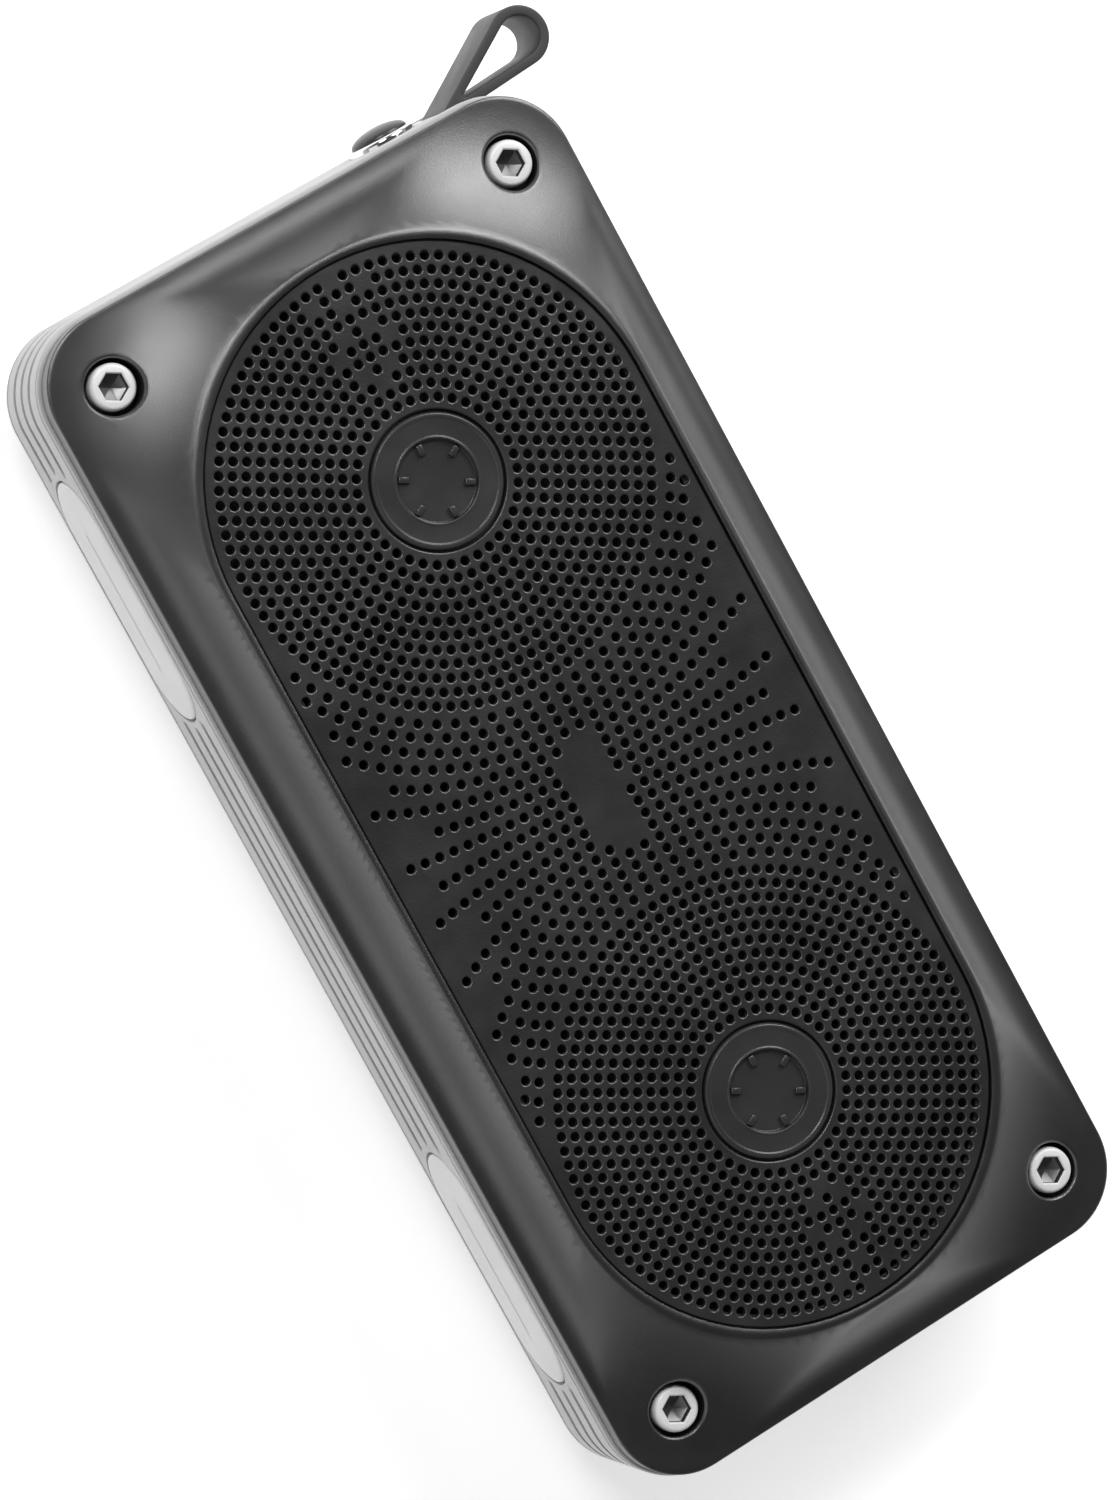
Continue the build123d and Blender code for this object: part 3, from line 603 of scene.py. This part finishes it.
def make_caps():
    """The round cap over each driver's centre."""
    top = GRILLE_TOP + 0.15
    profile = [(9.6, top - 1.85), (9.6, top - 1.15), (8.55, top - 1.15), (8.55, top - 0.3), (8.3, top),
               (7.9, top), (7.75, top - 0.12), (5.6, top - 0.12), (5.45, top), (5.25, top - 0.05),
               (5.15, top - 0.72), (0.0, top - 0.72)]
    for name, side in (("upper", 1), ("lower", -1)):
        cy = side * DRIVER_Y
        parts = [lathe(filleted(profile, 0.12), (0, cy, 0), segments=96)]
        for step in range(6):
            a = math.radians(30 + 60 * step)
            x, y = 4.3 * math.cos(a), cy + 4.3 * math.sin(a)
            parts.append(rounded_block(x, y, top - 0.75, top - 0.2, 1.4, 0.8, a))
        verts, faces = merged(parts)
        add_piece("cap_" + name, verts, faces, "case", CAP, ["grille_cap_" + name], sharp=45)


# ---- screws -------------------------------------------------------------------
def hex_points(cx, cy, flat_radius, z, count=ROUND_COUNT):
    """Hexagon sampled at the same count as a circle."""
    points = []
    for i in range(count):
        a = 2 * math.pi * i / count
        sector = (a + math.pi / 6) % (math.pi / 3) - math.pi / 6
        r = flat_radius / math.cos(sector)
        points.append((cx + r * math.cos(a), cy + r * math.sin(a), z))
    return points


def make_screws():
    """Bright socket-head screws of the front cover."""
    heads, sockets = [], []
    for sx, sy in SCREWS:
        rings = [[(x, y, z) for x, y in circle(sx, sy, r)] for r, z in
                 ((3.0, 27.6), (3.0, 29.5), (2.94, 29.8), (2.82, 30.08), (2.66, 30.24), (2.5, 30.3))]
        rings.append(hex_points(sx, sy, 1.82, 30.3))
        rings.append(hex_points(sx, sy, 1.66, 30.14))
        heads.append(skin(rings))
        heads.append(lathe([(1.5, 27.6), (1.5, 15.6), (0.0, 15.6)], (sx, sy, 0), segments=32))
        levels = ((1.66, 30.14), (1.64, 28.9), (0.6, 28.4), (0.01, 28.3))
        sockets.append(skin([hex_points(sx, sy, flat_radius, z) for flat_radius, z in levels]))
    verts, faces = merged(heads)
    add_piece("front_screws", verts, faces, "case", SCREW, ["case_screws"], sharp=32)
    # The sockets take the darker steel copy as painted shade.
    verts, faces = merged(sockets)
    add_piece("screw_sockets", verts, faces, "case", SOCKET_SHADE, sharp=25)


# ---- sides --------------------------------------------------------------------
def smooth(low, high, value):
    """Smooth step from 0 to 1."""
    f = min(1.0, max(0.0, (value - low) / (high - low)))
    return f * f * (3 - 2 * f)


def pad_distance(y, z, pad_y):
    """Distance outside an oval pad, in the plane of the side."""
    along = max(abs(y - pad_y) - (PAD_LENGTH - PAD_WIDTH) / 2, 0)
    return math.hypot(along, z - Z_MID) - PAD_WIDTH / 2


def groove_depth(x, y, z):
    """How far the band is cut back at a point of its outside."""
    fade = smooth(26.0, 29.0, abs(x)) if y > 76 else 1.0
    main = fade
    if abs(x) > 34:
        for side, pad_y in PADS:
            if x * side > 0:
                main *= smooth(1.2, 2.8, pad_distance(y, z, pad_y))
    off = min(abs(z - Z_MID - centre) for centre in (-4.0, 0.0, 4.0))
    fine_off = abs(abs(z - Z_MID) - 7.95)
    depth = 0.95 * main * min(1.0, max(0.0, (0.62 - off) / 0.14))
    return max(depth, 0.4 * fade * min(1.0, max(0.0, (0.26 - fine_off) / 0.1)))


def band_levels():
    """Heights at which the band is sampled, closer together in the grooves."""
    levels = {8.6, 8.68, 8.85, 9.1, 25.7, 25.95, 26.12, 26.2}
    for centre in (-4.0, 0.0, 4.0):
        levels |= {round(Z_MID + centre + d, 3) for d in (-0.8, -0.62, -0.48, 0, 0.48, 0.62, 0.8)}
    for centre in (-7.95, 7.95):
        levels |= {round(Z_MID + centre + d, 3) for d in (-0.26, -0.16, 0.16, 0.26)}
    for low, high in ((9.8, 12.5), (14.3, 16.5), (18.3, 20.5), (22.3, 25.1)):
        levels |= {round(low + (high - low) * i / 5, 3) for i in range(6)}
    return sorted(levels)


def side_stadium(pad_y, x_low, x_high, grow):
    """Oval cutter through the side of the band."""
    shape = outline(PAD_LENGTH + 2 * grow, PAD_WIDTH + 2 * grow, PAD_R + grow, arc=16, long=2, short=12)
    return capped([[(x, pad_y + u, Z_MID + v) for u, v, _, _ in shape] for x in (x_low, x_high)])


def capped_rod(x, z, radius, y_low, y_high):
    """Round cutter along Y with closed ends."""
    shape = circle(0, 0, radius, 40)
    return capped([[(x + u, y, z + v) for u, v in shape] for y in (y_low, y_high)])


def cut(obj, parts):
    """Takes closed cutters away from a piece and keeps the result as its mesh."""
    verts, faces = merged(parts)
    mesh = mesh_of("cutter", verts, faces)
    bm = bmesh.new()
    bm.from_mesh(mesh)
    bmesh.ops.recalc_face_normals(bm, faces=bm.faces)
    bm.to_mesh(mesh)
    bm.free()
    cutter = linked("cutter", mesh)
    modifier = obj.modifiers.new("cut", "BOOLEAN")
    modifier.operation = "DIFFERENCE"
    modifier.solver = "EXACT"
    modifier.object = cutter
    shaped = bpy.data.meshes.new_from_object(obj.evaluated_get(bpy.context.evaluated_depsgraph_get()))
    obj.modifiers.remove(modifier)
    obj.data = shaped
    bpy.data.objects.remove(cutter)
    bm = bmesh.new()
    bm.from_mesh(shaped)
    bmesh.ops.remove_doubles(bm, verts=bm.verts, dist=1e-6)
    bm.to_mesh(shaped)
    bm.free()
    shaped.shade_smooth()
    shaped.set_sharp_from_angle(angle=math.radians(35))


def band_skin():
    """Ribbed outside, soft edges and plain inside of the band."""
    shape = outline(76.0, 164.9, 9.95, arc=26, long=190, short=60)
    rings = []
    for z in band_levels():
        edge = min(z - BAND_LOW, BAND_HIGH - z)
        soft = 0.25 * max(0.0, 1 - edge / 0.25) ** 2
        ring = []
        for x, y, nx, ny in shape:
            inset = groove_depth(x, y, z) + soft
            ring.append((x - nx * inset, y - ny * inset, z))
        rings.append(ring)
    inner = [[(x - nx * 1.7, y - ny * 1.7, z) for x, y, nx, ny in shape]
             for z in (BAND_HIGH, BAND_LOW)]
    return skin(rings + inner + [rings[0]])


def make_band():
    """Ribbed silicone band with its openings."""
    verts, faces = band_skin()
    band = add_piece("side_band", verts, faces, "case", BAND, ["side_band"])
    openings = [side_stadium(y, min(s * 30, s * 45), max(s * 30, s * 45), 0.35) for s, y in PADS]
    openings.append(capped_rod(BUTTON_X, Z_MID, 4.6, 75, 90))
    openings.append(capped_rod(LAMP_X, Z_MID, 0.75, 75, 90))
    cut(band, openings)
    # The strap's pocket is two blocks that share a face, so each is cut by itself.
    cut(band, [box_part(25.9, 31.2, 78.0, 90, Z_MID - 6.4, Z_MID + 6.4)])
    cut(band, [box_part(31.2, 36.0, 80.8, 90, Z_MID - 6.4, Z_MID + 6.4)])
    # Groove depth kept per point; the band material uses it as the mask for its painted shade.
    shade = band.data.attributes.new("groove", "FLOAT", "POINT")
    for vertex, value in zip(band.data.vertices, shade.data):
        value.value = groove_depth(*(c / MM for c in vertex.co))


def pad_skin(pad_y, side):
    """Smooth oval pad with soft edges and a slight crown."""
    profile = [(0.0, PAD_BACK), (0.0, 37.75), (0.06, 37.94), (0.2, 38.08), (0.45, 38.16), (1.0, 38.21),
               (2.5, 38.25), (4.5, 38.28), (7.1, 38.3)]
    rings = []
    for inset, x in profile:
        shape = outline(PAD_LENGTH - 2 * inset, PAD_WIDTH - 2 * inset, PAD_R - inset,
                        arc=18, long=2, short=24)
        rings.append([(side * x, pad_y + u, Z_MID + v) for u, v, _, _ in shape])
    back = [(side * PAD_BACK, pad_y + (y - pad_y) * 0.02, Z_MID + (z - Z_MID) * 0.02)
            for _, y, z in rings[0]]
    return skin([back] + rings)


def make_pads():
    """Volume keys on the left and the port cover on the right."""
    for name, side in (("up", 1), ("down", -1)):
        stem = lathe([(2.5, -37.2), (2.5, -34.6), (0.0, -34.6)], (0, side * PAD_Y, Z_MID), "X", 32)
        verts, faces = merged([pad_skin(side * PAD_Y, -1), stem])
        add_piece(f"key_{name}", verts, faces, f"volume_{name}_body", KEY, [f"volume_{name}_key"])
    plug = box_part(35.4, 37.15, PAD_Y - 10.5, PAD_Y + 10.5, Z_MID - 4.3, Z_MID + 4.3)
    verts, faces = merged([pad_skin(PAD_Y, 1), plug])
    add_piece("port_lid", verts, faces, "port_cover_body", KEY, ["port_cover"])


def make_button():
    """Domed power button, its bright ring and the lamp beside it."""
    dome = [(3.85 * math.sin(a), 83.3 + 1.4 * math.cos(a))
            for a in [math.pi / 2 * (1 - i / 10) for i in range(11)]]
    shaft = [(0.0, 78.2), (2.2, 78.2), (2.2, 81.75), (3.85, 81.75), (3.85, 83.2)]
    verts, faces = lathe(shaft + dome, (BUTTON_X, 0, Z_MID), "Y")
    add_piece("button_dome", verts, faces, "power_button_body", BUTTON, ["power_button"])
    ring = [(3.93, 80.65), (3.93, 83.0), (4.02, 83.15), (4.18, 83.2), (4.36, 83.12), (4.48, 82.95),
            (4.5, 82.75), (4.5, 80.65), (3.93, 80.65)]
    verts, faces = lathe(ring, (BUTTON_X, 0, Z_MID), "Y")
    add_piece("button_ring", verts, faces, "case", CHROME, ["power_button_ring"])
    lens = [(0.0, 76.7), (0.7, 76.7), (0.7, 82.38), (0.6, 82.52), (0.35, 82.58), (0.0, 82.6)]
    verts, faces = lathe(lens, (LAMP_X, 0, Z_MID), "Y", 32)
    add_piece("lamp_lens", verts, faces, "case", LENS, ["led_lens"])


# ---- strap --------------------------------------------------------------------
def arc_points(cx, cy, radius, start, end, count):
    """Points along an arc, angles in degrees."""
    return [(cx + radius * math.cos(math.radians(start + (end - start) * i / count)),
             cy + radius * math.sin(math.radians(start + (end - start) * i / count)))
            for i in range(count + 1)]


def between(a, b, count):
    """Points strictly between two points."""
    return [(a[0] + (b[0] - a[0]) * i / count, a[1] + (b[1] - a[1]) * i / count)
            for i in range(1, count)]


def strap_loops():
    """Outer edge, inner edge and eye of the loop, each anticlockwise."""
    eye, end = (28.4, 81.0), (40.8, 86.0)
    lean = math.degrees(math.atan2(end[1] - eye[1], end[0] - eye[0]))
    gap = math.dist(eye, end)
    swing = math.degrees(math.acos((1.8 - 3.95) / gap))
    big = arc_points(*end, 3.95, -88, lean + swing, 44)
    small = arc_points(*eye, 1.8, lean + swing, 369, 40)
    outer = big + between(big[-1], small[0], 14) + small
    outer += between(small[-1], big[0], 14)
    root = (30.7, 82.85)
    lean_in = math.degrees(math.atan2(end[1] - root[1], end[0] - root[0]))
    swing_in = math.degrees(math.acos((0.2 - 2.65) / math.dist(root, end)))
    big_in = arc_points(*end, 2.65, lean_in - swing_in, lean_in + swing_in, 40)
    small_in = arc_points(*root, 0.2, lean_in + swing_in, lean_in + 360 - swing_in, 10)
    inner = big_in + between(big_in[-1], small_in[0], 14) + small_in
    inner += between(small_in[-1], big_in[0], 14)
    hole = arc_points(*eye, 0.86, 0, 360, 32)[:-1]
    return outer, inner, hole


def offset(loop, distance):
    """Moves an anticlockwise loop inwards by a distance."""
    moved = []
    for i, (x, y) in enumerate(loop):
        (ax, ay), (bx, by) = loop[i - 1], loop[(i + 1) % len(loop)]
        tx, ty = bx - ax, by - ay
        length = math.hypot(tx, ty) or 1.0
        moved.append((x - ty / length * distance, y + tx / length * distance))
    return moved


def inside(point, loop):
    """Whether a point is inside a closed loop."""
    x, y = point
    found = False
    for i, (x1, y1) in enumerate(loop):
        x0, y0 = loop[i - 1]
        if (y0 > y) != (y1 > y) and x < (x1 - x0) * (y - y0) / (y1 - y0) + x0:
            found = not found
    return found


def strap_face(loops):
    """Triangles between the outer loop and the two inner ones, in plan."""
    points, edges = [], []
    for loop in loops:
        edges += loop_edges(range(len(points), len(points) + len(loop)))
        points += loop
    verts, _, faces, *_ = delaunay_2d_cdt([Vector(p) for p in points], edges, [], 0, 1e-6)
    kept = [tuple(face) for face in faces
            if [inside(centre_of(verts, face), loop) for loop in loops] == [True, False, False]]
    return verts, kept


def make_strap():
    """Moulded rubber loop with softened edges."""
    soft, low, high = 0.28, Z_MID - 5.0, Z_MID + 5.0
    steps = [(soft * (1 - math.sin(a)), soft * (1 - math.cos(a)))
             for a in [math.pi / 2 * i / 4 for i in range(5)]]
    parts, rims = [], []
    for index, loop in enumerate(strap_loops()):
        sign = 1 if index == 0 else -1
        rings = [[(x, y, low + rise) for x, y in offset(loop, sign * inset)] for inset, rise in steps]
        rings += [[(x, y, high - rise) for x, y in offset(loop, sign * inset)]
                  for inset, rise in reversed(steps)]
        parts.append(skin(rings))
        rims.append(offset(loop, sign * soft))
    verts, kept = strap_face(rims)
    for z in (low, high):
        parts.append(([(v.x, v.y, z) for v in verts], kept))
    verts, faces = merged(parts)
    add_piece("strap_loop", verts, faces, "strap", STRAP, ["carry_strap"], sharp=50)


# ---- carried-over CAD nodes ---------------------------------------------------
def dress_nodes():
    """Gives every shown CAD node its material, and soft edges on the larger ones."""
    looks = {
        "splash_membrane": MESH, "bezel_seal": SEAL, "screw_inserts": BRASS, "inner_frame": BLACK,
        "rear_cover": COVER, "rear_screws": ZINC, "baffle_plate": BLACK, "driver_gaskets": SEAL,
        "driver_screws": ZINC, "radiator_frame": BLACK, "radiator_surround": RUBBER,
        "radiator_plate": BLACK, "battery_pack": SLEEVE, "main_board": BOARD, "board_screws": ZINC,
        "board_components": CHIP, "power_switch_plunger": PALE, "power_switch": CHIP,
        "power_board": BOARD, "status_led": PALE, "volume_up_plunger": PALE,
        "volume_down_plunger": PALE, "volume_switches": CHIP, "key_boards": BOARD,
        "port_board": BOARD, "usb_socket": ZINC, "aux_jack": CHIP, "strap_pin": ZINC,
        "strap_bracket": ZINC,
    }
    driver = {"basket": BLACK, "front_plate": ZINC, "magnet": FERRITE, "yoke": ZINC,
              "voice_coil": COPPER, "cone": PAPER, "dust_cap": PAPER, "surround": RUBBER,
              "spider": CLOTH}
    for end in ("upper", "lower"):
        for piece, look in driver.items():
            looks[f"{end}_{piece}"] = look
    for name, look in looks.items():
        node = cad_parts[name]
        node.data.materials.clear()
        node.data.materials.append(look)
    for name, width in (("rear_cover", 0.35), ("inner_frame", 0.2), ("aux_jack", 0.2),
                        ("usb_socket", 0.1), ("strap_bracket", 0.1)):
        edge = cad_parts[name].modifiers.new("soft_edges", "BEVEL")
        edge.width = width * MM
        edge.segments = 2
        edge.limit_method = "ANGLE"
        edge.angle_limit = math.radians(35)


# ---- stage --------------------------------------------------------------------
def softbox(name, place, aim, size, power):
    """White area light aimed at a point; places in metres."""
    data = bpy.data.lights.new(name, "AREA")
    data.shape = "RECTANGLE"
    data.size, data.size_y = size
    data.energy = power
    lamp = linked(name, data)
    lamp.location = place
    lamp.rotation_euler = (Vector(aim) - Vector(place)).to_track_quat("-Z", "Y").to_euler()


def make_floor():
    """Plain pale floor under the speaker."""
    bpy.ops.mesh.primitive_plane_add(size=8.0, location=(0, 0, -0.0002))
    floor = bpy.context.object
    floor.name = "floor"
    paper = grained("floor_paper", grey(0.92), 0.9, grain=400, vary=0.01, relief=0.02, specular=0.1)
    shader = paper.node_tree.nodes["Principled BSDF"]
    shader.inputs["Emission Color"].default_value = (1, 1, 1, 1)
    shader.inputs["Emission Strength"].default_value = 0.55
    floor.data.materials.append(paper)


def make_world():
    """Pale horizon that darkens overhead."""
    world = bpy.data.worlds.new("studio")
    world.use_nodes = True
    tree = world.node_tree
    background = tree.nodes["Background"]
    coords = tree.nodes.new("ShaderNodeTexCoord")
    split = tree.nodes.new("ShaderNodeSeparateXYZ")
    ramp = tree.nodes.new("ShaderNodeValToRGB")
    ramp.color_ramp.elements[0].position = 0.10
    ramp.color_ramp.elements[0].color = (0.9, 0.9, 0.9, 1)
    ramp.color_ramp.elements[1].position = 0.62
    ramp.color_ramp.elements[1].color = (0.11, 0.11, 0.11, 1)
    tree.links.new(coords.outputs["Generated"], split.inputs["Vector"])
    tree.links.new(split.outputs["Z"], ramp.inputs["Fac"])
    tree.links.new(ramp.outputs["Color"], background.inputs["Color"])
    background.inputs["Strength"].default_value = 0.55
    bpy.context.scene.world = world


def make_lights():
    """Soft studio light from the strap end and the right."""
    softbox("key", (0.85, 0.55, 0.80), (0, 0, 0.02), (0.7, 0.7), 10)
    softbox("top", (-0.15, 0.70, 0.95), (0, 0, 0.02), (0.38, 0.32), 4.5)
    softbox("left", (-0.75, -0.12, 0.70), (0, 0, 0.02), (0.8, 0.6), 1.2)


def make_camera():
    """Camera at the viewing angle of the picture."""
    data = bpy.data.cameras.new("camera")
    data.lens = 140.57
    data.sensor_width = 36.0
    data.sensor_fit = "AUTO"
    camera = linked("camera", data)
    camera.location = (-0.19808, 0.11292, 0.72672)
    camera.rotation_euler = [math.radians(a) for a in (0.3993, -17.7827, -29.7631)]
    bpy.context.scene.camera = camera


make_bezel()
make_grille()
make_caps()
make_screws()
make_band()
make_pads()
make_button()
make_strap()
dress_nodes()
make_floor()
make_world()
make_lights()
make_camera()
bpy.context.scene.view_settings.view_transform = "Standard"
